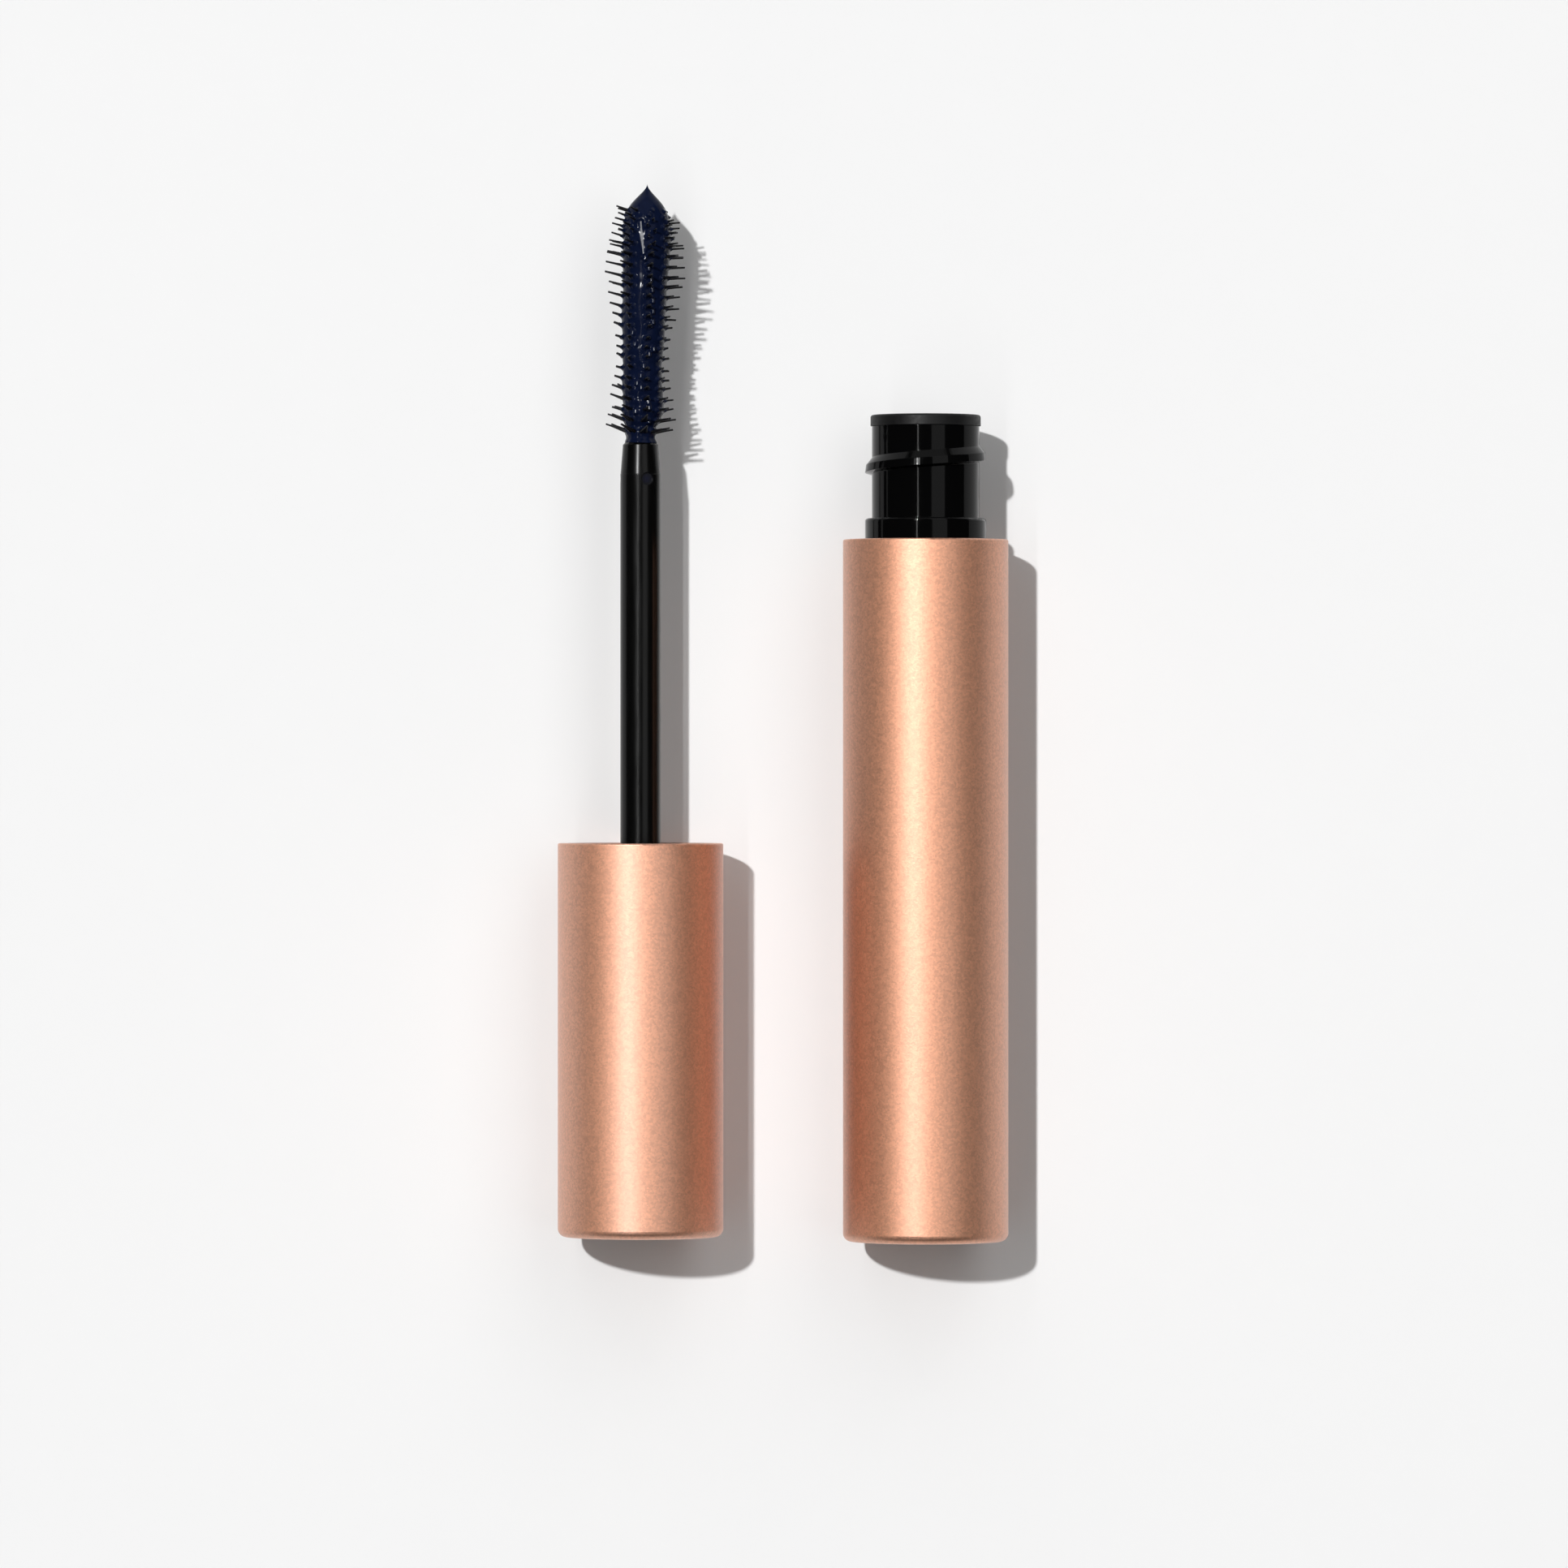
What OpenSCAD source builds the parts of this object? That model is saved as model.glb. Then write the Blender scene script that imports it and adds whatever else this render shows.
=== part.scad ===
// Mascara tube lying open, with its cap, wand and loaded brush beside it.
// Millimetres. Both pieces lie along Y on the plane Z = 0, brush and neck toward +Y.
// Each piece is drawn upright on its own axis, then laid down beside the other.

/* [Overall] */
// Outer diameter of the tube and the cap
body_d = 18; // [17.5:0.5:20]
// Length of the coloured sleeve on the tube
sleeve_len = 76.3; // [74:0.1:90]
// Length of the cap
cap_len = 42.8; // [38:0.1:50]
// Distance between the axes of the tube and the wand
lay_pitch = 31; // [24:1:45]
// How far the cap's closed end lies beyond the tube's base
lay_offset = 0.5; // [0:0.1:5]

/* [Shells] */
// Wall of the sleeve and the cap shell
shell_wall = 1; // [0.8:0.1:1.1]
// Thickness of their closed ends
shell_end = 1.2; // [0.8:0.1:2]
// Rounding of the edge round a closed end
end_round = 0.9; // [0.6:0.1:1.6]
// Rounding of the outer edge of an open rim
rim_round = 0.2; // [0.1:0.05:0.3]
// Clearance between a shell and the liner inside it
shell_gap = 0.1; // [0.05:0.05:0.15]

/* [Neck] */
// Diameter of the smooth neck
neck_d = 11.7; // [11.3:0.1:11.9]
// Height of the neck between its collar and the wiper
neck_len = 10.05; // [9.8:0.05:11]
// Height of the collar above the sleeve
collar_len = 2.3; // [1.8:0.1:2.6]
// Wall of the bottle
bottle_wall = 1.2; // [1:0.1:1.4]
// Wall of the neck
neck_wall = 1.35; // [1.2:0.05:1.5]

/* [Thread] */
// Rise of the thread in one turn
thread_lead = 2.8; // [2.6:0.1:3]
// Height of the thread above the neck
thread_height = 0.75; // [0.6:0.05:0.8]
// Width of the flat crest
crest_w = 0.8; // [0.7:0.05:1]
// Turns of thread on the neck
neck_turns = 1.25; // [0.9:0.05:1.3]
// Turns of thread in the cap
cap_turns = 0.9; // [0.7:0.05:0.9]
// Height of the middle of the neck's thread above the sleeve
thread_mid = 8.4; // [8:0.1:8.6]
// Clearance between the two threads
thread_gap = 0.15; // [0.1:0.05:0.2]

/* [Wiper] */
// Diameter of the flange that sits on the neck
flange_d = 12; // [11.5:0.1:12.4]
// Thickness of the flange
flange_t = 1.2; // [0.8:0.1:1.4]
// Depth of the wiper below the flange
wiper_len = 9.5; // [8:0.5:11]
// Wall of the wiper
wiper_wall = 0.8; // [0.6:0.1:0.9]
// Play of the rod in the wiper's orifice, on the diameter
orifice_play = 0.2; // [0.1:0.1:0.4]

/* [Rod] */
// Diameter of the rod
rod_d = 4.4; // [4:0.1:4.6]
// Length of the rod beyond the cap's rim
rod_out = 43.6; // [38:0.2:45]
// Length of the tapered tip
taper_len = 3.5; // [3:0.5:6]
// Diameter at the end of the taper
taper_d = 3.85; // [3.6:0.05:3.9]
// Thickness of the seal washer
washer_t = 1; // [0.8:0.1:1.2]
// Play of the seal washer on each side
washer_play = 0.05; // [0.03:0.01:0.1]

/* [Brush] */
// Length from the rod's end to the peak of the paste
brush_len = 28.1; // [26:0.1:28.5]
// Lean of the soft brush away from the rod's axis, in degrees
brush_lean = 1.5; // [0:0.1:2]
// Diameter over the bristle tips next to the rod
base_d = 7.5; // [6.5:0.1:8]
// Diameter over the bristle tips at the waist
waist_d = 5.9; // [5.4:0.1:6.5]
// Diameter over the bristle tips at the bulge
bulge_d = 8.8; // [8:0.1:9]
// Diameter over the bristle tips at the end
top_d = 6.5; // [6:0.1:7.5]
// Rings of bristles
rings = 22; // [20:1:26]
// Bristles in one ring
strands = 16; // [14:1:18]
// Turn of the rows of bristles about the brush, in degrees
row_turn = 16.5; // [0:0.5:30]
// Lean of the bristles toward the tip, in degrees
strand_lean = 12; // [0:1:20]
// Diameter over the paste where it is thickest
coat_d = 4.8; // [4.4:0.1:5]
// Diameter over the paste at the lowest bristles
coat_base_d = 4; // [3.4:0.1:4.2]
// Size of the dome of paste, over which it falls away toward its peak
dome_size = 2.3; // [2:0.1:2.6]

/* [Hidden] */
$fn = 96;
body_r = body_d / 2;
shell_bore_r = body_r - shell_wall;
liner_r = shell_bore_r - shell_gap;
fit_gap = 0.05;
edge = 0.3;
root_sink = 0.3;
flank_low = 0.3;
flank_high = 1.15;
crest_draft = 0.11;
run_out = 25;
turn_steps = 120;

neck_r = neck_d / 2;
thread_r = neck_r + thread_height;
shoulder_drop = 0.4;
shoulder_z = sleeve_len - shoulder_drop;
collar_top = sleeve_len + collar_len;
neck_top = collar_top + neck_len;
mouth_z = neck_top + flange_t;
neck_bore_r = neck_r - neck_wall;
cavity_r = liner_r - bottle_wall;
bottle_floor = 1.5;
floor_z = shell_end + bottle_floor;
throat_z = shoulder_z - bottle_wall;

rod_r = rod_d / 2;
wiper_r = neck_bore_r - fit_gap;
wiper_mouth_r = wiper_r - wiper_wall;
orifice_r = (rod_d + orifice_play) / 2;
orifice_len = 1.8;
orifice_z = neck_top - wiper_len;

cap_bore_r = thread_r + thread_gap;
rim_drop = 0.6;
cap_rim_z = cap_len - rim_drop;
ceiling_z = cap_len - (mouth_z - sleeve_len) - washer_t - 2 * washer_play;
web_t = 1.5;
web_z = ceiling_z - web_t;
socket_len = 10;
socket_z = ceiling_z - socket_len;
boss_wall = 1.6;
boss_r = rod_r + boss_wall;
boss_end = 1.2;
boss_z = socket_z - boss_end;
blind_wall = 1;

rod_end = cap_len + rod_out;
taper_z = rod_end - taper_len;
taper_step = 0.02;
bead_z = ceiling_z + washer_t + 2 * washer_play;
bead_height = 0.4;
bead_r = rod_r + bead_height;
dimple_d = 1.3;
dimple_depth = 0.25;
dimple_at = 4;
dimple_z = rod_end - dimple_at;
shank_r = 0.75;
shank_len = 8;

core_r = 0.95;
slice_r = 1.35;
bristle_z = 0.5;
paste_tip = 2.5;
bristle_len = brush_len - bristle_z - paste_tip;
ring_pitch = bristle_len / rings;
strand_w = 0.42;
segments = 2 * strands;
waist_at = 0.35;
bulge_at = 0.75;
coat_z = 0.15;
coat_film = 0.15;
coat_neck_r = slice_r + coat_film;
coat_neck_z = 1.4;
coat_base_z = 3;
coat_full_z = 17;
coat_steps = 48;

channel_gap = 0.3;
channel_r = bulge_d / 2 + channel_gap;
fill_len = 50;
fill_slope = 3;
fill_floor = 1.5;
fill_top = floor_z + fill_len;

tube_x = lay_pitch / 2;
wand_x = -lay_pitch / 2;
tube_y = -max(mouth_z, lay_offset + rod_end + brush_len) / 2;
wand_y = tube_y + lay_offset;

copper = [0.80, 0.50, 0.37];
black = [0.03, 0.03, 0.03];
soft_black = [0.07, 0.07, 0.07];
navy = [0.03, 0.04, 0.16];

// One piece to draw, or all of them

// Lays an upright piece of the tube along Y
module along_tube() {
  translate([tube_x, tube_y, body_r])
    rotate([-90, 0, 0])
      children();
}

// Lays an upright piece of the wand along Y
module along_wand() {
  translate([wand_x, wand_y, body_r])
    rotate([-90, 0, 0])
      children();
}

// Carries the leaning brush on the end of the rod
module on_rod_end() {
  along_wand()
    translate([0, 0, rod_end])
      rotate([0, brush_lean, 0])
        children();
}

// A shell closed at the bottom, with a rounded lower edge and a softened rim
module cup(len) {
  rotate_extrude()
    difference() {
      union() {
        translate([0, end_round])
          square([body_r, len - end_round - rim_round]);
        square([body_r - end_round, len - rim_round]);
        translate([0, end_round])
          square([body_r - rim_round, len - end_round]);
        translate([body_r - end_round, end_round])
          circle(end_round);
        translate([body_r - rim_round, len - rim_round])
          circle(rim_round);
      }
      translate([0, shell_end])
        square([shell_bore_r, len]);
    }
}

// A helical ridge, outside a wall when the crest is wider than the root, or else inside a bore
module ridge(root_r, crest_r, mid_z, turns, mid_angle) {
  steps = ceil(turns * turn_steps);
  side = sign(crest_r - root_r);
  low = crest_w / 2 + flank_low;
  high = crest_w / 2 + flank_high;
  points = [
    for (i = [0:steps])
      let (
        share = i / steps - 0.5,
        angle = mid_angle + share * turns * 360,
        z = mid_z + share * turns * thread_lead,
        fade = min(1, (0.5 - abs(share)) * turns * 360 / run_out),
        base = root_r - side * root_sink,
        start = root_r - side * root_sink / 2,
        crest = start + fade * (crest_r - start)
      )
      for (p = [[base, -low], [crest, -crest_w / 2], [crest - side * crest_draft, crest_w / 2], [base, high]])
        [p[0] * cos(angle), p[0] * sin(angle), z + p[1]]
  ];
  sides = [
    for (i = [0:steps - 1])
      for (j = [0:3])
        let (a = 4 * i + j, b = 4 * i + (j + 1) % 4)
        for (f = [[a, b, b + 4], [a, b + 4, a + 4]])
          side > 0 ? f : [f[2], f[1], f[0]]
  ];
  last = 4 * steps;
  ends = [
    for (f = [[0, 2, 1], [0, 3, 2], [last, last + 1, last + 2], [last, last + 2, last + 3]])
      side > 0 ? f : [f[2], f[1], f[0]]
  ];
  polyhedron(points = points, faces = concat(sides, ends));
}

module tube_sleeve() {
  color(copper)
    along_tube()
      cup(sleeve_len);
}

module inner_bottle() {
  color(black)
    along_tube() {
      rotate_extrude() {
        translate([thread_r - edge, collar_top - edge])
          circle(edge);
        polygon([
          [0, shell_end],
          [liner_r - edge, shell_end],
          [liner_r, shell_end + edge],
          [liner_r, shoulder_z],
          [thread_r, shoulder_z],
          [thread_r, collar_top - edge],
          [thread_r - edge, collar_top],
          [neck_r, collar_top],
          [neck_r, neck_top],
          [neck_bore_r, neck_top],
          [neck_bore_r, throat_z],
          [cavity_r, throat_z - cavity_r + neck_bore_r],
          [cavity_r, floor_z],
          [0, floor_z]
        ]);
      }
      ridge(neck_r, thread_r, sleeve_len + thread_mid, neck_turns, -90);
    }
}

module wiper() {
  color(soft_black)
    along_tube()
      rotate_extrude() {
        translate([flange_d / 2 - edge, mouth_z - edge])
          circle(edge);
        polygon([
          [orifice_r, orifice_z],
          [orifice_r + wiper_wall, orifice_z],
          [wiper_r, orifice_z + wiper_len / 2],
          [wiper_r, neck_top],
          [flange_d / 2, neck_top],
          [flange_d / 2, mouth_z - edge],
          [flange_d / 2 - edge, mouth_z],
          [wiper_mouth_r + edge, mouth_z],
          [wiper_mouth_r, mouth_z - edge],
          [wiper_mouth_r, orifice_z + orifice_len + wiper_len / 2],
          [orifice_r, orifice_z + orifice_len]
        ]);
      }
}

// The paste clings to the bottle round the channel that the brush leaves
module mascara_fill() {
  color(navy)
    along_tube()
      rotate_extrude()
        polygon([
          [0, floor_z],
          [cavity_r - fit_gap, floor_z],
          [cavity_r - fit_gap, fill_top],
          [channel_r, fill_top - fill_slope],
          [channel_r, floor_z + fill_floor],
          [0, floor_z + fill_floor]
        ]);
}

module cap_shell() {
  color(copper)
    along_wand()
      cup(cap_len);
}

module inner_cap() {
  color(black)
    along_wand() {
      rotate_extrude()
        polygon([
          [liner_r - blind_wall, shell_end],
          [liner_r, shell_end],
          [liner_r, cap_rim_z],
          [cap_bore_r + edge, cap_rim_z],
          [cap_bore_r, cap_rim_z - edge],
          [cap_bore_r, ceiling_z],
          [rod_r + fit_gap, ceiling_z],
          [rod_r + fit_gap, socket_z],
          [0, socket_z],
          [0, boss_z],
          [boss_r, boss_z],
          [boss_r, web_z],
          [liner_r - blind_wall, web_z]
        ]);
      ridge(cap_bore_r, neck_r + thread_gap, cap_len - thread_mid + thread_lead / 2, cap_turns, -90);
    }
}

module seal_washer() {
  color(soft_black)
    along_wand()
      rotate_extrude()
        translate([rod_r + washer_play, ceiling_z + washer_play])
          square([flange_d / 2 - rod_r, washer_t]);
}

module rod() {
  color(black)
    along_wand()
      difference() {
        rotate_extrude()
          polygon([
            [0, socket_z],
            [rod_r, socket_z],
            [rod_r, bead_z],
            [bead_r, bead_z],
            [bead_r, bead_z + edge],
            [rod_r, bead_z + edge + bead_height],
            [rod_r, taper_z],
            [rod_r - taper_step, taper_z],
            [taper_d / 2, rod_end - edge],
            [taper_d / 2 - edge, rod_end],
            [shank_r + fit_gap, rod_end],
            [shank_r + fit_gap, rod_end - shank_len],
            [0, rod_end - shank_len]
          ]);
        for (angle = [-69, 51, 171])
          rotate([0, 0, angle])
            translate([rod_r - dimple_depth, 0, dimple_z])
              rotate([0, 90, 0])
                cylinder(d = dimple_d, h = 2 * dimple_depth);
      }
}

module brush_core() {
  color(black) {
    along_wand()
      translate([0, 0, rod_end - shank_len])
        cylinder(r = shank_r, h = shank_len + bristle_z);
    on_rod_end()
      translate([0, 0, coat_z])
        cylinder(r = core_r, h = bristle_z + bristle_len - coat_z);
  }
}

// Eases from one value to the next as t goes from 0 to 1
function ease(from, to, t) = from + (to - from) * (1 - cos(180 * t)) / 2;

// Radius over the bristle tips at a share of the bristled length
function tip_radius(t) =
  t < waist_at ? ease(base_d, waist_d, t / waist_at) / 2
  : t < bulge_at ? ease(waist_d, bulge_d, (t - waist_at) / (bulge_at - waist_at)) / 2
  : ease(bulge_d, top_d, (t - bulge_at) / (1 - bulge_at)) / 2;

// One closed surface: a thin sleeve whose outside is a grid, with a bristle on every second cell of each ring,
// so that the bristles stand in straight rows along the brush
module bristle_form() {
  bore_r = (core_r + fit_gap) / cos(180 / segments);
  levels = concat(
    [bristle_z],
    [for (k = [0:rings - 1]) for (s = [-1, 1]) bristle_z + (k + 0.5) * ring_pitch + s * strand_w / 2],
    [bristle_z + bristle_len]
  );
  last = len(levels) - 1;
  grid_points = [
    for (z = levels)
      for (j = [0:segments - 1])
        [slice_r * cos(360 * j / segments), slice_r * sin(360 * j / segments), z]
  ];
  bore_points = [
    for (z = [levels[0], levels[last]])
      for (j = [0:segments - 1])
        [bore_r * cos(360 * j / segments), bore_r * sin(360 * j / segments), z]
  ];
  tip_points = [
    for (k = [0:rings - 1])
      for (m = [0:strands - 1])
        let (
          angle = 360 * (2 * m + 0.5) / segments,
          r = tip_radius((k + 0.5) / rings),
          z = bristle_z + (k + 0.5) * ring_pitch + (r - slice_r) * tan(strand_lean)
        )
        [r * cos(angle), r * sin(angle), z]
  ];
  bore_at = len(grid_points);
  tip_at = bore_at + len(bore_points);
  next = [for (j = [0:segments - 1]) (j + 1) % segments];
  skin = [
    for (i = [0:last - 1])
      for (j = [0:segments - 1])
        let (
          k = (i - 1) / 2,
          a = i * segments + j,
          b = i * segments + next[j],
          c = b + segments,
          d = a + segments,
          tip = tip_at + k * strands + j / 2,
          bristled = i % 2 == 1 && j % 2 == 0
        )
        for (f = bristled ? [[a, tip, b], [b, tip, c], [c, tip, d], [d, tip, a]] : [[a, c, b], [a, d, c]])
          f
  ];
  bore = [
    for (j = [0:segments - 1])
      let (a = bore_at + j, b = bore_at + next[j])
      for (f = [[a, b, b + segments], [a, b + segments, a + segments]])
        f
  ];
  rims = [
    for (j = [0:segments - 1])
      let (
        a = j,
        b = next[j],
        c = bore_at + next[j],
        d = bore_at + j,
        top = last * segments
      )
      for (f = [[a, b, c], [a, c, d], [a + top, c + segments, b + top], [a + top, d + segments, c + segments]])
        f
  ];
  polyhedron(points = concat(grid_points, bore_points, tip_points), faces = concat(skin, bore, rims));
}

module bristles() {
  color(black)
    on_rod_end()
      rotate([0, 0, row_turn])
        bristle_form();
}

// Radius of the paste: thin at the rod, swelling along the core, then a dome drawn to a peak
function coat_radius(z) =
  z < coat_neck_z ? coat_neck_r
  : z < coat_base_z ? ease(coat_neck_r, coat_base_d / 2, (z - coat_neck_z) / (coat_base_z - coat_neck_z))
  : ease(coat_base_d, coat_d, min(1, (z - coat_base_z) / (coat_full_z - coat_base_z))) / 2
    * (1 - exp(-pow((brush_len - z) / dome_size, 2)));

module mascara_coat() {
  color(navy)
    on_rod_end()
      difference() {
        rotate_extrude()
          polygon(concat(
            [[0, coat_z]],
            [
              for (i = [0:coat_steps])
                let (z = coat_z + (brush_len - coat_z) * i / coat_steps)
                [coat_radius(z), z]
            ]
          ));
        cylinder(r = core_r + fit_gap, h = bristle_z + bristle_len);
        translate([0, 0, bristle_z])
          cylinder(r = slice_r, h = bristle_len);
      }
}

tube_sleeve();
inner_bottle();
wiper();
mascara_fill();
cap_shell();
inner_cap();
seal_washer();
rod();
brush_core();
bristles();
mascara_coat();
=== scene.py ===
# Mascara tube lying open on a pale surface, with its cap, wand and loaded brush beside it.
# The shells, the neck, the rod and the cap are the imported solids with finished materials.
# The bristles and the paste are modelled here, in the same place and close to the same size.
import math

import bpy
import numpy as np
from mathutils import Matrix, Vector, noise


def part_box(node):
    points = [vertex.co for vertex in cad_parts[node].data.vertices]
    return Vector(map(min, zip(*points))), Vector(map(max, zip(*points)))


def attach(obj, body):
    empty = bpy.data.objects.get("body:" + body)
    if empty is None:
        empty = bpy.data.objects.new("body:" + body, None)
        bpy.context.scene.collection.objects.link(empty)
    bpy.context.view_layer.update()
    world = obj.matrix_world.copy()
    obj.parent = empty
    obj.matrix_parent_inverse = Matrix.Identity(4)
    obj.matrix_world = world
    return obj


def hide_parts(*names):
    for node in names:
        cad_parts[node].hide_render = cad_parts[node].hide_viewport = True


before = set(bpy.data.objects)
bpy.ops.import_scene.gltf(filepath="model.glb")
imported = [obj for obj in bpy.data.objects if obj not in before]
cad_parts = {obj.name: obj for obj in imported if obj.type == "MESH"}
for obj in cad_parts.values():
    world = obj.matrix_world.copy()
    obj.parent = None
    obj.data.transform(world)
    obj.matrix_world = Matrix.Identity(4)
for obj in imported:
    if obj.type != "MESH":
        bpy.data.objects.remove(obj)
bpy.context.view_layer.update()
scene = bpy.context.scene
scene.view_settings.view_transform = "Standard"

MM = 0.001
SEED = 7

# Places of the tube, the wand and its brush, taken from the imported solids
rod_low, rod_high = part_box("rod")
coat_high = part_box("mascara_coat")[1]
fill_low, fill_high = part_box("mascara_fill")
wand_x = (rod_low[0] + rod_high[0]) / 2
axis_z = (rod_low[2] + rod_high[2]) / 2
tube_x = (fill_low[0] + fill_high[0]) / 2
rod_end = rod_high[1]

# Brush, in millimetres along its own axis from the end of the rod
BRUSH_LEN = (coat_high[1] - rod_end) / MM
BRUSH_LEAN = math.radians(1.5)
BRISTLE_START = 0.5
BARE_TIP = 3.0
BRISTLE_LEN = BRUSH_LEN - (BRISTLE_START + BARE_TIP)
RINGS = 22
PAIRS = 8
PAIR_TURN = math.radians(-79)

# Reach and lean of the bristles at the base, waist, bulge and top of the brush
BASE_R = 3.95
WAIST_R = 2.95
BULGE_R = 4.6
TOP_R = 3.75
WAIST_AT = 0.35
BULGE_AT = 0.75
LEAN_BASE = math.radians(14)
LEAN_WAIST = math.radians(11)
LEAN_BULGE = math.radians(8.5)
LEAN_TOP = math.radians(12)
LEAN_SIDE = math.radians(4)
BURIED_R = 2.2

# One bristle, from its root in the sleeve to its blunt tip
STRAND_START_R = 1.3
STRAND_ROOT_R = 0.26
STRAND_TIP_R = 0.095
STRAND_FLARE = 1.8
STRAND_BLUNT = 0.4

# Place of a bristle's tip beside the middle of its pair, in shares of the pitch between rows,
# and what parting adds to that place and to its height and takes from its reach
TIP_GAP = 0.02
PARTED_GAP = 0.23
PARTED_HEIGHT = 0.3
PARTED_SHORT = 0.1
# How far pairs part: a little at the waist, and fully by halfway from the bulge to the top
PARTED_WAIST = 0.05
PARTING = 2

# Seeded strays of rings, pairs and single bristles, in millimetres, radians or shares of the reach.
# The stray of a pair's lean is given at the base, waist, bulge and top.
RING_HEIGHT_STRAY = 0.04
RING_LEAN_STRAY = 0.02
PAIR_TURN_STRAY = 0.02
PAIR_LEAN_STRAYS = (0.02, 0.06, 0.015, 0.03)
PAIR_REACH_STRAY = 0.04
STRAND_TURN_STRAY = 0.005
STRAND_HEIGHT_STRAY = 0.006
STRAND_LEAN_STRAY = 0.004

# Paste on the brush, whose upward side is at the angle FACING
COAT_START = -0.1
COAT_NECK_R = 1.65
COAT_BASE_R = 2.0
COAT_R = 2.42
COAT_NECK_AT = 1.4
COAT_BASE_AT = 3.0
COAT_FULL_AT = 17.0
DOME_SIZE = 2.0
DOME_POWER = 1.8
DOME_LEN = 5.0
FACING = math.radians(-90)
# Feet of paste that climb the bristles
FOOT_HEIGHT = 0.5
FOOT_WIDTH = 0.45
FOOT_SEARCH = 1.5
# Flattens the tops of the bells by which marks and fine lumps fade out
BELL_POWER = 4

# Unevenness of the paste: broad lumps, finer ones that are higher low on the brush, and a rise at each ring
NOISE_R = 2.2
LUMP_RISE = 0.15
LUMP_SCALE = 0.4
FINE_RISE = 0.015
FINE_LOW_RISE = 0.06
FINE_LOW_END = 8
FINE_SCALE = 1.2
BAND_RISE = 0.1
BAND_FADE = 5

# Soft swellings of the paste: height on the brush, turn from the upward side, rise and width
SWELLINGS = (
    (4.0, math.radians(90), 0.35, 2.0),
    (22.0, math.radians(90), 0.3, 3.0),
)
# A drawn-out smear on the upward side: its two ends, each a height and a turn, its rise, slopes and width
SMEAR_FOOT = (20.1, math.radians(-3))
SMEAR_END = (23.8, math.radians(-14))
SMEAR_RISE = 0.36
SMEAR_SIDE_SLOPE = 0.158
SMEAR_DOWN_SLOPE = 0.136
SMEAR_WIDTH = 0.32
SMEAR_LEAST_FACING = 0.5
# Drops that follow the smear down the brush and drift to one side of it
DROPS = 7
DROP_FIRST = 0.3
DROP_PITCH = 1.15
DROP_TURN = math.radians(25)
DROP_DRIFT = 2
DROP_LEN = 0.35
DROP_RISE = 0.24
DROP_WIDTH = 0.2
# Smaller drops scattered over the lower half of the upward side
SPECKS = 12
SPECK_LOW = 1.6
SPECK_HIGH = 12.0
SPECK_SPREAD = math.radians(30)
SPECK_LEN = 0.3
SPECK_WIDTH = 0.23

# Paste left in the bottle and the channel in it, in millimetres from the bottom of the paste
CHANNEL_PLAY = 0.1
CHANNEL_R = BULGE_R + CHANNEL_PLAY
CHANNEL_FLOOR = 1.5
CHANNEL_SLOPE = 3
CHANNEL_ROUGH = 0.25
CHANNEL_ROUGH_SCALE = 0.6

# Dimples near the end of the rod, evenly round it
DIMPLES = 3
DIMPLE_TURN = -69
DIMPLE_BACK = 4.0
DIMPLE_R = 2.2


# Meshes

def add_piece(name, points, faces, material, body, node):
    """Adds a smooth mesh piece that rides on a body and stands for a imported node."""
    mesh = bpy.data.meshes.new(name)
    mesh.from_pydata([tuple(p) for p in points], [], faces)
    mesh.materials.append(material)
    mesh.polygons.foreach_set("use_smooth", [True] * len(mesh.polygons))
    mesh.update()
    piece = bpy.data.objects.new(name, mesh)
    scene.collection.objects.link(piece)
    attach(piece, body)
    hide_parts(node)


def tube_faces(rows, sides, first=0):
    """Quads of a tube of rings that closes round its sides."""
    faces = []
    for row in range(rows - 1):
        for side in range(sides):
            a = first + row * sides + side
            b = first + row * sides + (side + 1) % sides
            faces.append((a, b, b + sides, a + sides))
    return faces


def cap_faces(ring, sides, centre, flip):
    """Triangles from a ring of points to one point."""
    faces = []
    for side in range(sides):
        a = ring + side
        b = ring + (side + 1) % sides
        faces.append((b, a, centre) if flip else (a, b, centre))
    return faces


def laid(x, y, lean=0.0):
    """Carries a shape in millimetres from its own upright axis to the lying axis that starts at x and y."""
    place = Matrix.Translation(Vector((x, y, axis_z)))
    lay = Matrix.Rotation(math.radians(-90), 4, "X")
    tilt = Matrix.Rotation(lean, 4, "Y")
    return place @ lay @ tilt @ Matrix.Scale(MM, 4)


def carried(points, matrix):
    """Moves an array of points by a matrix."""
    turn = np.array(matrix)
    return np.asarray(points) @ turn[:3, :3].T + turn[:3, 3]


def ease(start, end, t):
    """Runs smoothly from one value to another as t goes from 0 to 1."""
    return start + (end - start) * (1 - math.cos(math.pi * t)) / 2


def along_brush(t, base, waist, bulge, top):
    """Runs from value to value along the bristled length: base, waist, bulge and top."""
    if t < WAIST_AT:
        return ease(base, waist, t / WAIST_AT)
    if t < BULGE_AT:
        return ease(waist, bulge, (t - WAIST_AT) / (BULGE_AT - WAIST_AT))
    return ease(bulge, top, (t - BULGE_AT) / (1 - BULGE_AT))


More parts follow.
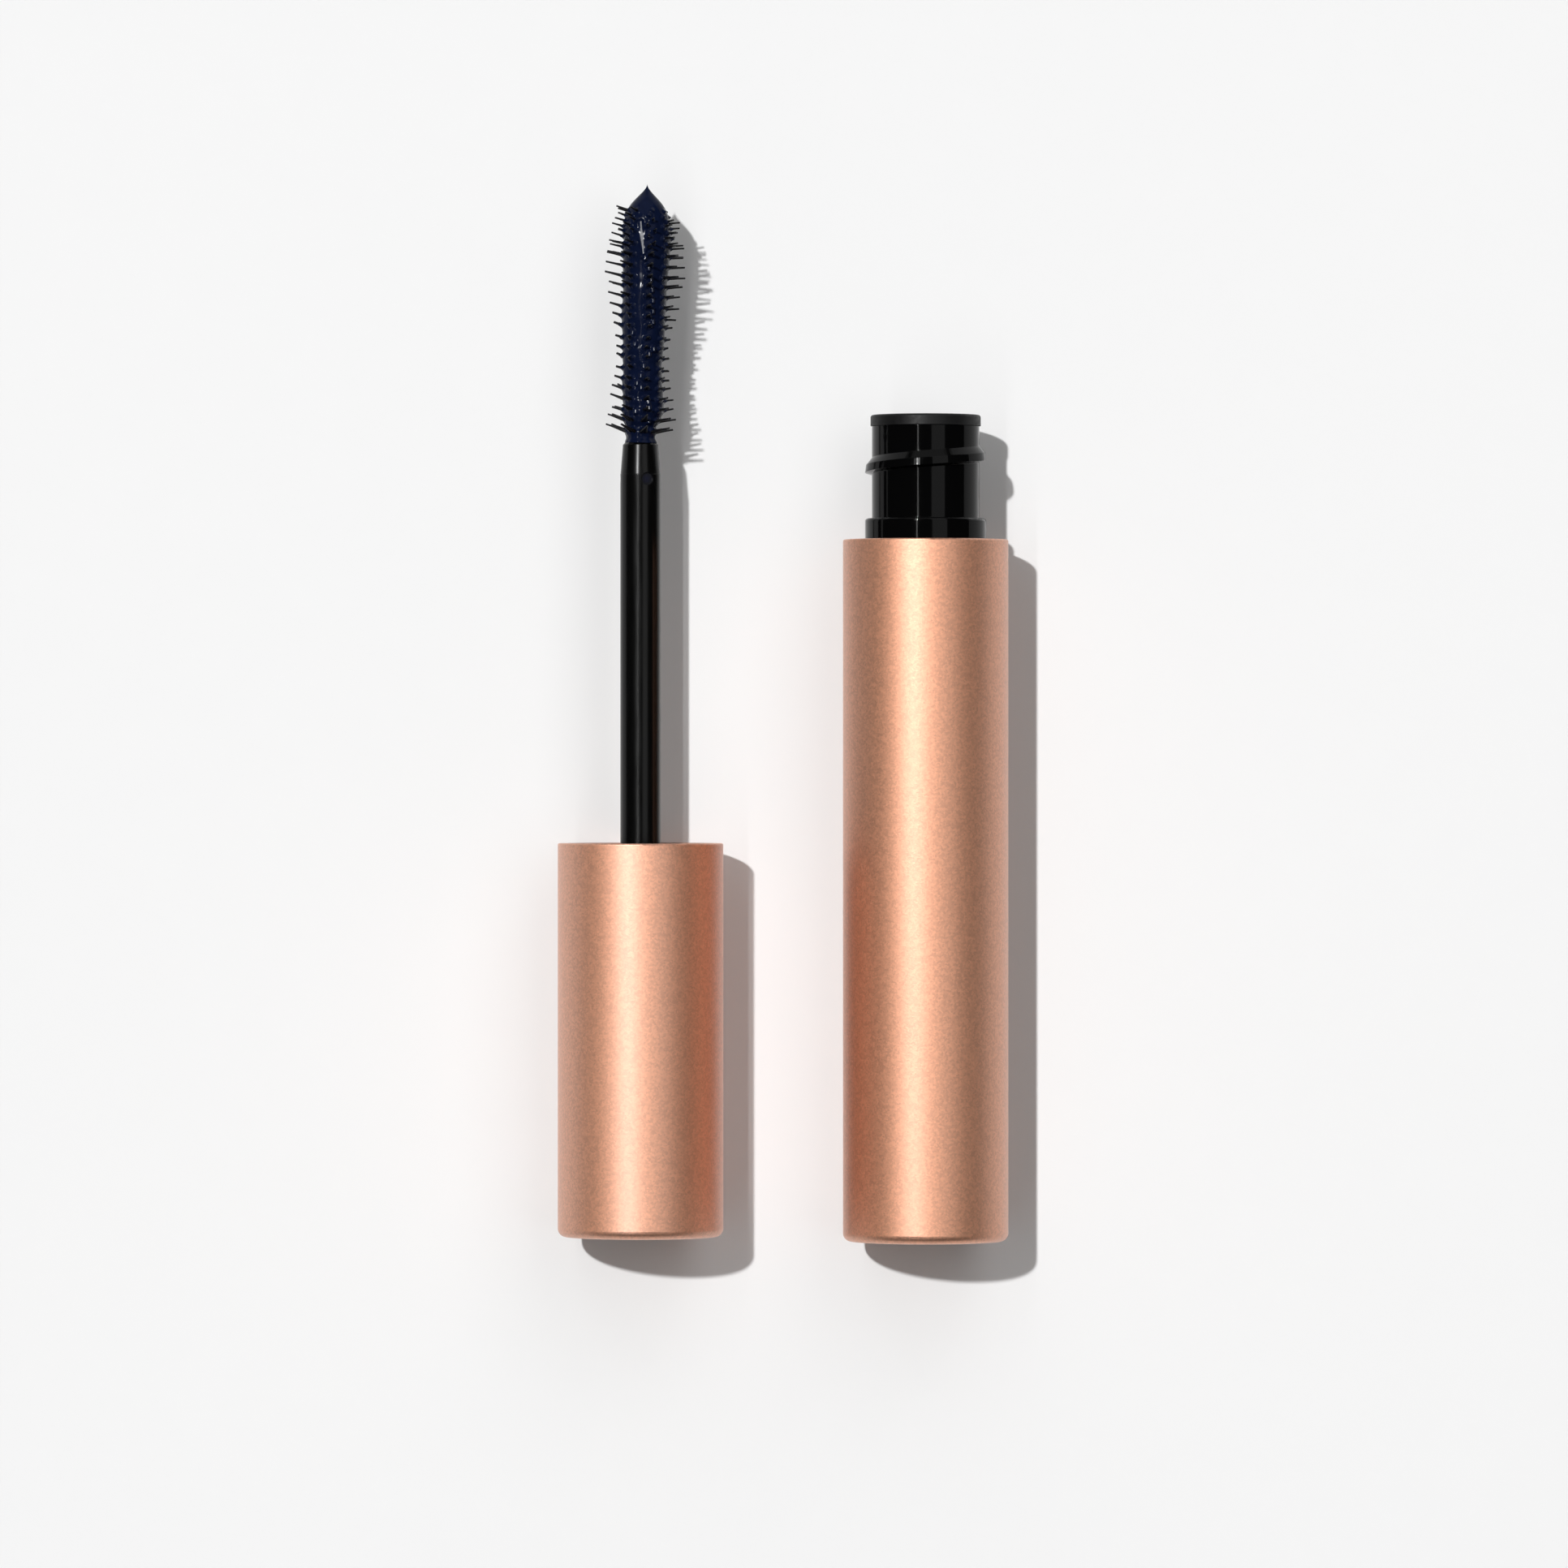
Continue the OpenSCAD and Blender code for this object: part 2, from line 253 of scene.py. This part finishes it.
def strand_roots():
    """Root angle, tip angle, height, reach and lean of each bristle.

    Sixteen rows stand evenly round the core. Wet paste draws them together in pairs at their tips,
    and above the bulge the two bristles of a pair part again. The paste buries half of the last ring.
    """
    chance = np.random.default_rng(SEED)
    pitch = math.pi / PAIRS
    roots = []
    for ring in range(RINGS):
        t = (ring + 0.5) / RINGS
        ring_height = BRISTLE_START + t * BRISTLE_LEN + chance.normal(0, RING_HEIGHT_STRAY)
        ring_lean = along_brush(t, LEAN_BASE, LEAN_WAIST, LEAN_BULGE, LEAN_TOP)
        ring_lean += chance.normal(0, RING_LEAN_STRAY)
        ring_reach = along_brush(t, BASE_R, WAIST_R, BULGE_R, TOP_R)
        stray = along_brush(t, *PAIR_LEAN_STRAYS)
        parted = min(1, PARTING * along_brush(t, 0, PARTED_WAIST, 0, 1))
        for pair in range(PAIRS):
            middle = PAIR_TURN + 2 * pitch * pair + chance.normal(0, PAIR_TURN_STRAY)
            pair_lean = ring_lean - LEAN_SIDE * math.cos(middle) + chance.normal(0, stray)
            pair_reach = ring_reach * (1 - abs(chance.normal(0, PAIR_REACH_STRAY)))
            for side in (-1, 1):
                angle = middle + side * pitch / 2
                tip_angle = middle + side * pitch * (TIP_GAP + PARTED_GAP * parted)
                tip_angle += chance.normal(0, STRAND_TURN_STRAY)
                height = ring_height + PARTED_HEIGHT * side * parted
                height += chance.normal(0, STRAND_HEIGHT_STRAY)
                reach = pair_reach * (1 - PARTED_SHORT * parted * abs(chance.normal(0, 1)))
                if ring == RINGS - 1 and math.cos(middle) > 0:
                    reach = BURIED_R
                lean = pair_lean + chance.normal(0, STRAND_LEAN_STRAY)
                roots.append((angle, tip_angle, height, reach, lean))
    return roots


def bristle_mesh(roots):
    """Round tapered bristles with blunt tips."""
    stations = 8
    sides = 8
    up = np.array([0, 0, 1.0])
    points = []
    faces = []
    for angle, tip_angle, height, reach, lean in roots:
        start = STRAND_START_R * np.array([math.cos(angle), math.sin(angle), 0]) + height * up
        end = reach * np.array([math.cos(tip_angle), math.sin(tip_angle), 0])
        end = end + (height + (reach - STRAND_START_R) * math.tan(lean)) * up
        out = (end - start) / np.linalg.norm(end - start)
        across = np.cross(up, out)
        across = across / np.linalg.norm(across)
        level = np.cross(out, across)
        first = len(points)
        for i in range(stations):
            t = i / (stations - 1)
            centre = start + (end - start) * t
            radius = STRAND_TIP_R + (STRAND_ROOT_R - STRAND_TIP_R) * (1 - t) ** STRAND_FLARE
            for j in range(sides):
                turn = 2 * math.pi * j / sides
                points.append(centre + radius * (math.cos(turn) * across + math.sin(turn) * level))
        points.append(end + out * STRAND_TIP_R * STRAND_BLUNT)
        points.append(start)
        faces += tube_faces(stations, sides, first)
        faces += cap_faces(first + (stations - 1) * sides, sides, len(points) - 2, False)
        faces += cap_faces(first, sides, len(points) - 1, True)
    return points, faces


def coat_profile(z):
    """Radius of the paste: thin at the rod, swelling along the core, then a dome drawn to a peak."""
    if z < COAT_NECK_AT:
        return COAT_NECK_R
    if z < COAT_BASE_AT:
        return ease(COAT_NECK_R, COAT_BASE_R, (z - COAT_NECK_AT) / (COAT_BASE_AT - COAT_NECK_AT))
    full = ease(COAT_BASE_R, COAT_R, min(1, (z - COAT_BASE_AT) / (COAT_FULL_AT - COAT_BASE_AT)))
    return full * (1 - math.exp(-(((BRUSH_LEN - z) / DOME_SIZE) ** DOME_POWER)))


def turned(angles, centre):
    """Angles measured from a centre, between minus and plus half a turn."""
    return (angles - centre + math.pi) % (2 * math.pi) - math.pi


def bristle_feet(roots):
    """Angle and height at which each bristle leaves the paste."""
    depth = COAT_R - STRAND_START_R
    feet = []
    for angle, tip_angle, height, reach, lean in roots:
        share = depth / (reach - STRAND_START_R)
        turn = share * reach / (share * reach + (1 - share) * STRAND_START_R)
        feet.append((angle + (tip_angle - angle) * turn, height + depth * math.tan(lean)))
    return np.array(feet)


def foot_rise(angles, z, base, feet):
    """How far the paste climbs the feet of the bristles round one height."""
    near = feet[np.abs(feet[:, 1] - z) < FOOT_SEARCH]
    if len(near) == 0:
        return np.zeros(len(angles))
    across = turned(angles[:, None], near[None, :, 0]) * base
    apart = np.hypot(across, z - near[None, :, 1])
    climb = FOOT_HEIGHT * np.maximum(0, 1 - apart / FOOT_WIDTH) ** 2
    return climb.max(axis=1)


def smears():
    """Two ends, rise and width of the smear, of each drop and of each speck."""
    chance = np.random.default_rng(SEED)
    marks = [(SMEAR_FOOT, SMEAR_END, SMEAR_RISE, SMEAR_WIDTH)]
    for i in range(DROPS):
        height = SMEAR_FOOT[0] - DROP_PITCH * (i + DROP_FIRST)
        turn = DROP_TURN * (1 - math.exp(-i / DROP_DRIFT))
        marks.append(((height, turn), (height + DROP_LEN, turn), DROP_RISE, DROP_WIDTH))
    for i in range(SPECKS):
        height = SPECK_LOW + (SPECK_HIGH - SPECK_LOW) * (i + chance.random()) / SPECKS
        turn = SPECK_SPREAD * chance.uniform(-1, 1)
        marks.append(((height, turn), (height + SPECK_LEN, turn), DROP_RISE, SPECK_WIDTH))
    return marks


def smeared(radius, angles, z, base, marks):
    """Lays the smear, the drops and the specks over the paste round one height.

    Each is a narrow flat slope that is highest at its foot.
    """
    facing = np.maximum(SMEAR_LEAST_FACING, -np.sin(angles) - SMEAR_SIDE_SLOPE * np.cos(angles))
    for foot, end, rise, width in marks:
        length = end[0] - foot[0]
        share = (z - foot[0]) / length
        held = min(1, max(0, share))
        centre = foot[1] + (end[1] - foot[1]) * held
        apart = np.hypot(turned(angles, FACING + centre) * base, (share - held) * length)
        level = coat_profile(foot[0]) * (math.cos(foot[1]) - SMEAR_SIDE_SLOPE * math.sin(foot[1]))
        top = level + rise - SMEAR_DOWN_SLOPE * share * length
        weight = np.exp(-((apart / width) ** BELL_POWER))
        radius = radius * (1 - weight) + top / facing * weight
    return radius


def swelling_rise(angles, z):
    """The soft swellings of the paste round one height."""
    rise = np.zeros(len(angles))
    for height, turn, high, width in SWELLINGS:
        near = math.exp(-(((z - height) / width) ** 2))
        rise += high * near * np.exp(-(turned(angles, FACING + turn) ** 2))
    return rise


def coat_mesh(roots):
    """Wet paste that climbs the foot of each bristle."""
    rows = 480
    sides = 240
    ring_pitch = BRISTLE_LEN / RINGS
    heights = COAT_START + (BRUSH_LEN - COAT_START) * np.linspace(0, 1, rows + 1)[:-1]
    angles = 2 * math.pi * np.arange(sides) / sides
    feet = bristle_feet(roots)
    marks = smears()
    points = []
    for z in heights:
        base = coat_profile(z)
        fade = min(1, (BRUSH_LEN - z) / DOME_LEN)
        fine = FINE_RISE + FINE_LOW_RISE * math.exp(-((z / FINE_LOW_END) ** BELL_POWER))
        rings_passed = (z - BRISTLE_START) / ring_pitch
        band = BAND_RISE * math.cos(2 * math.pi * rings_passed) * math.exp(-z / BAND_FADE)
        rise = foot_rise(angles, z, base, feet) + swelling_rise(angles, z) - band
        for i, angle in enumerate(angles):
            spot = Vector((math.cos(angle) * NOISE_R, math.sin(angle) * NOISE_R, z))
            rise[i] += LUMP_RISE * noise.noise(spot * LUMP_SCALE) + fine * noise.noise(spot * FINE_SCALE)
        radius = smeared(base + fade * rise, angles, z, base, marks)
        for angle, r in zip(angles, radius):
            points.append((r * math.cos(angle), r * math.sin(angle), z))
    faces = tube_faces(rows, sides)
    points.append((0, 0, BRUSH_LEN))
    faces += cap_faces((rows - 1) * sides, sides, len(points) - 1, False)
    points.append((0, 0, COAT_START))
    faces += cap_faces(0, sides, len(points) - 1, True)
    return points, faces


def fill_mesh():
    """Paste left in the bottle, with the rough channel that the brush leaves."""
    sides = 96
    slope_rows = 4
    channel_rows = 60
    outer = (fill_high[0] - fill_low[0]) / 2 / MM
    length = (fill_high[1] - fill_low[1]) / MM
    mouth = length - CHANNEL_SLOPE
    outline = [(outer, 0), (outer, length)]
    for i in range(1, slope_rows + 1):
        share = i / slope_rows
        outline.append((outer + (CHANNEL_R - outer) * share, length - CHANNEL_SLOPE * share))
    for i in range(1, channel_rows + 1):
        outline.append((CHANNEL_R, mouth + (CHANNEL_FLOOR - mouth) * i / channel_rows))
    points = []
    for row, (radius, z) in enumerate(outline):
        for j in range(sides):
            angle = 2 * math.pi * j / sides
            spot = Vector((math.cos(angle) * radius, math.sin(angle) * radius, z))
            rough = CHANNEL_ROUGH * noise.noise(spot * CHANNEL_ROUGH_SCALE) if row > 1 else 0
            grown = radius + max(0, rough)
            points.append((grown * math.cos(angle), grown * math.sin(angle), z))
    faces = tube_faces(len(outline), sides)
    points.append((0, 0, 0))
    faces += cap_faces(0, sides, len(points) - 1, True)
    points.append((0, 0, CHANNEL_FLOOR))
    faces += cap_faces((len(outline) - 1) * sides, sides, len(points) - 1, False)
    return points, faces


# Materials

class Finish:
    """One material whose surface detail comes from noise in the piece's own coordinates."""

    # The mix node's colour sockets, which share their names with its other sockets
    MIX_FIRST = 6
    MIX_SECOND = 7
    MIX_RESULT = 2

    def __init__(self, name, colour, roughness, metallic=0.0, specular=0.5):
        self.material = bpy.data.materials.new(name)
        self.material.use_nodes = True
        self.tree = self.material.node_tree
        self.surface = self.tree.nodes["Principled BSDF"]
        self.surface.inputs["Base Color"].default_value = (*colour, 1)
        self.surface.inputs["Roughness"].default_value = roughness
        self.surface.inputs["Metallic"].default_value = metallic
        self.surface.inputs["Specular IOR Level"].default_value = specular
        self.material.diffuse_color = (*colour, 1)
        self.place = self.add("ShaderNodeTexCoord").outputs["Object"]

    def add(self, kind, **values):
        """A new node with these values on its sockets."""
        node = self.tree.nodes.new(kind)
        for name, value in values.items():
            node.inputs[name].default_value = value
        return node

    def link(self, output, socket):
        """Feeds an output into a socket."""
        self.tree.links.new(output, socket)

    def colour(self, output):
        """Feeds the base colour."""
        self.link(output, self.surface.inputs["Base Color"])

    def rough(self, output):
        """Feeds the roughness."""
        self.link(output, self.surface.inputs["Roughness"])

    def stretched(self, scale):
        """The piece's coordinates, scaled along each axis."""
        node = self.add("ShaderNodeMapping", Scale=scale)
        self.link(self.place, node.inputs["Vector"])
        return node.outputs["Vector"]

    def grain(self, size, detail=2.0, stretch=None):
        """Noise from 0 to 1 whose lumps are about this many millimetres wide."""
        node = self.add("ShaderNodeTexNoise", Scale=1 / (size * MM), Detail=detail)
        self.link(self.stretched(stretch) if stretch else self.place, node.inputs["Vector"])
        return node.outputs["Fac"]

    def flakes(self, size):
        """A random level for each small cell, about this many millimetres wide."""
        node = self.add("ShaderNodeTexVoronoi", Scale=1 / (size * MM))
        self.link(self.place, node.inputs["Vector"])
        part = self.add("ShaderNodeSeparateColor")
        self.link(node.outputs["Color"], part.inputs["Color"])
        return part.outputs["Red"]

    def spread(self, level, low, high, start=0.3, end=0.7):
        """Maps a level onto a range of values."""
        node = self.add("ShaderNodeMapRange")
        node.inputs["From Min"].default_value = start
        node.inputs["From Max"].default_value = end
        node.inputs["To Min"].default_value = low
        node.inputs["To Max"].default_value = high
        self.link(level, node.inputs["Value"])
        return node.outputs["Result"]

    def mixed(self, level, first, second):
        """A colour between two, by a level."""
        node = self.add("ShaderNodeMix")
        node.data_type = "RGBA"
        self.link(level, node.inputs["Factor"])
        node.inputs[self.MIX_FIRST].default_value = (*first, 1)
        node.inputs[self.MIX_SECOND].default_value = (*second, 1)
        return node.outputs[self.MIX_RESULT]

    def near(self, spot, inner, outer):
        """One within the inner distance of a spot and nothing beyond the outer, in millimetres."""
        node = self.add("ShaderNodeVectorMath")
        node.operation = "DISTANCE"
        node.inputs[1].default_value = spot
        self.link(self.place, node.inputs[0])
        apart = node.outputs["Value"]
        return self.spread(apart, low=1.0, high=0.0, start=inner * MM, end=outer * MM)

    def larger(self, first, second):
        """The larger of two levels."""
        node = self.add("ShaderNodeMath")
        node.operation = "MAXIMUM"
        self.link(first, node.inputs[0])
        self.link(second, node.inputs[1])
        return node.outputs["Value"]

    def drawn(self, amount):
        """Spreads highlights round the piece, as the fine lines of drawing along Y do."""
        node = self.add("ShaderNodeTangent")
        node.direction_type = "RADIAL"
        node.axis = "Y"
        self.link(node.outputs["Tangent"], self.surface.inputs["Tangent"])
        self.surface.inputs["Anisotropic"].default_value = amount

    def softened(self, radius):
        """Rounds the edges of a moulded piece by this many millimetres."""
        node = self.add("ShaderNodeBevel", Radius=radius * MM)
        node.samples = 8
        return node.outputs["Normal"]

    def bump(self, level, height, below=None):
        """Raises the surface by a level, up to a height in millimetres."""
        node = self.add("ShaderNodeBump", Strength=1.0, Distance=height * MM)
        self.link(level, node.inputs["Height"])
        if below is not None:
            self.link(below, node.inputs["Normal"])
        self.link(node.outputs["Normal"], self.surface.inputs["Normal"])
        return node.outputs["Normal"]


def copper(name, low, high, coat_ior):
    """Satin copper lacquer with fine metal flakes, between two levels of roughness."""
    base = (0.65, 0.3, 0.17)
    dark = (0.56, 0.258, 0.146)
    light = (0.74, 0.342, 0.194)
    finish = Finish(name, base, roughness=(low + high) / 2, metallic=1.0)
    finish.surface.inputs["Coat Weight"].default_value = 1.0
    finish.surface.inputs["Coat IOR"].default_value = coat_ior
    finish.surface.inputs["Coat Roughness"].default_value = 0.45
    finish.colour(finish.mixed(finish.flakes(size=0.2), dark, light))
    finish.rough(finish.spread(finish.grain(size=0.6), low, high))
    finish.bump(finish.grain(size=0.14), height=0.009)
    finish.drawn(amount=0.4)
    return finish.material


def black_gloss():
    """Moulded black plastic with a polished skin."""
    black = (0.0012, 0.0012, 0.0013)
    finish = Finish("black_gloss", black, roughness=0.08, specular=0.11)
    finish.rough(finish.spread(finish.grain(size=0.8), low=0.06, high=0.1))
    finish.bump(finish.grain(size=3.0), height=0.002, below=finish.softened(radius=0.12))
    return finish.material


def wiper_rubber():
    """Matt soft plastic."""
    base = (0.0035, 0.0035, 0.0037)
    dark = (0.002, 0.002, 0.0021)
    light = (0.005, 0.005, 0.0053)
    finish = Finish("wiper_rubber", base, roughness=0.5, specular=0.22)
    finish.colour(finish.mixed(finish.grain(size=0.9), dark, light))
    finish.rough(finish.spread(finish.grain(size=0.5), low=0.42, high=0.55))
    finish.bump(finish.grain(size=0.15), height=0.006, below=finish.softened(radius=0.1))
    return finish.material


def rod_black():
    """Drawn black plastic with faint lines along it and paste left in its dimples."""
    black = (0.0012, 0.0012, 0.0012)
    navy = (0.0018, 0.0026, 0.013)
    finish = Finish("rod_black", black, roughness=0.22, specular=0.18)
    out = DIMPLE_R * MM
    marked = None
    for i in range(DIMPLES):
        angle = math.radians(DIMPLE_TURN + 360 / DIMPLES * i)
        spot = (wand_x + out * math.cos(angle), rod_end - DIMPLE_BACK * MM, axis_z - out * math.sin(angle))
        here = finish.near(spot, inner=0.2, outer=0.75)
        marked = here if marked is None else finish.larger(marked, here)
    finish.colour(finish.mixed(marked, black, navy))
    finish.rough(finish.spread(finish.grain(size=0.4, stretch=(1, 0.08, 1)), low=0.19, high=0.26))
    lines = finish.grain(size=0.25, stretch=(1, 0.03, 1))
    finish.bump(lines, height=0.002, below=finish.softened(radius=0.12))
    return finish.material


def brush_black():
    """Moulded black elastomer, wetted by the paste."""
    black = (0.0016, 0.0017, 0.003)
    finish = Finish("brush_black", black, roughness=0.35, specular=0.3)
    finish.rough(finish.spread(finish.grain(size=0.3), low=0.28, high=0.42))
    finish.bump(finish.grain(size=0.12), height=0.006)
    return finish.material


def mascara_paste():
    """Thick wet navy paste, faintly lined along the brush."""
    base = (0.003, 0.0055, 0.02)
    dark = (0.002, 0.0038, 0.013)
    light = (0.004, 0.0074, 0.027)
    finish = Finish("mascara_paste", base, roughness=0.14, specular=0.06)
    finish.colour(finish.mixed(finish.grain(size=1.1), dark, light))
    finish.rough(finish.spread(finish.grain(size=0.5), low=0.1, high=0.2))
    lines = finish.bump(finish.grain(size=0.3, stretch=(1, 0.1, 1)), height=0.001)
    finish.bump(finish.grain(size=0.8), height=0.003, below=lines)
    return finish.material


def pale_floor():
    """Smooth pale board with the faintest tooth."""
    base = (0.8, 0.8, 0.8)
    dark = (0.796, 0.796, 0.796)
    light = (0.804, 0.804, 0.804)
    finish = Finish("pale_floor", base, roughness=0.9, specular=0.1)
    finish.colour(finish.mixed(finish.grain(size=6.0), dark, light))
    finish.bump(finish.grain(size=0.6), height=0.004)
    return finish.material


gloss = black_gloss()
soft = wiper_rubber()
strand_finish = brush_black()
paste = mascara_paste()
materials = {
    "tube_sleeve": copper("copper_tube", low=0.47, high=0.53, coat_ior=1.8),
    "cap_shell": copper("copper_cap", low=0.5, high=0.56, coat_ior=2.0),
    "inner_bottle": gloss,
    "inner_cap": gloss,
    "wiper": soft,
    "seal_washer": soft,
    "rod": rod_black(),
    "brush_core": strand_finish,
}
for node, finish in materials.items():
    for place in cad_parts[node].material_slots:
        place.material = finish

# Brush and paste
to_brush = laid(wand_x, rod_end, BRUSH_LEAN)
roots = strand_roots()
points, faces = bristle_mesh(roots)
points = carried(points, to_brush)
add_piece("brush_bristles", points, faces, strand_finish, "wand", "bristles")
points, faces = coat_mesh(roots)
points = carried(points, to_brush)
add_piece("brush_paste", points, faces, paste, "wand", "mascara_coat")
points, faces = fill_mesh()
points = carried(points, laid(tube_x, fill_low[1]))
add_piece("bottle_paste", points, faces, paste, "tube", "mascara_fill")


# Stage

def add_floor():
    """A wide round floor."""
    radius = 6.0
    sides = 128
    points = []
    for i in range(sides):
        angle = 2 * math.pi * i / sides
        points.append((radius * math.cos(angle), radius * math.sin(angle), 0))
    points.append((0, 0, 0))
    faces = cap_faces(0, sides, sides, False)
    mesh = bpy.data.meshes.new("floor")
    mesh.from_pydata(points, [], faces)
    mesh.materials.append(pale_floor())
    floor = bpy.data.objects.new("floor", mesh)
    scene.collection.objects.link(floor)


def add_camera():
    """A long lens straight above the pack."""
    distance = 1.15
    seen_width = 0.1705
    sensor = 36
    middle_x = 0.0001
    middle_y = -0.00777
    camera = bpy.data.cameras.new("camera")
    camera.sensor_width = sensor
    camera.lens = sensor * distance / seen_width
    camera.clip_end = 10
    holder = bpy.data.objects.new("camera", camera)
    holder.location = (middle_x, middle_y, axis_z + distance)
    scene.collection.objects.link(holder)
    scene.camera = holder


def add_panel(name, place, width, length, power):
    """A flat soft light that faces the pack, with its width along X."""
    light = bpy.data.lights.new(name, "AREA")
    light.shape = "RECTANGLE"
    light.size = width
    light.size_y = length
    light.energy = power
    away = Vector(place).normalized()
    along = (Vector((0, 1, 0)) - away * away.y).normalized()
    turn = Matrix((along.cross(away), along, away)).transposed()
    holder = bpy.data.objects.new(name, light)
    holder.matrix_world = Matrix.Translation(place) @ turn.to_4x4()
    holder.visible_camera = False
    scene.collection.objects.link(holder)


def add_lights():
    """A small hard key from the upper left, a thin strip for glints, soft panels and a dim room.

    The last panel stands low beyond the closed ends and lights their rims.
    """
    toward_key = Vector((-0.32, 0.285, 1))
    room_level = 0.04
    key = bpy.data.lights.new("key", "SUN")
    key.energy = 2.57
    key.angle = math.radians(1.8)
    holder = bpy.data.objects.new("key", key)
    holder.rotation_euler = toward_key.to_track_quat("Z", "Y").to_euler()
    scene.collection.objects.link(holder)
    add_panel("glint", (-0.15, 0, 0.55), width=0.012, length=1.0, power=0.6)
    add_panel("panel", (0.8, 0.6, 1.6), width=1.0, length=2.6, power=9.5)
    add_panel("fill", (0, 2.0, 1.0), width=2.4, length=1.8, power=9)
    add_panel("back", (0, -3.0, 0.4), width=4.0, length=0.6, power=7.5)
    world = bpy.data.worlds.new("room")
    world.use_nodes = True
    background = world.node_tree.nodes["Background"]
    background.inputs["Color"].default_value = (room_level, room_level, room_level, 1)
    scene.world = world


add_floor()
add_camera()
add_lights()
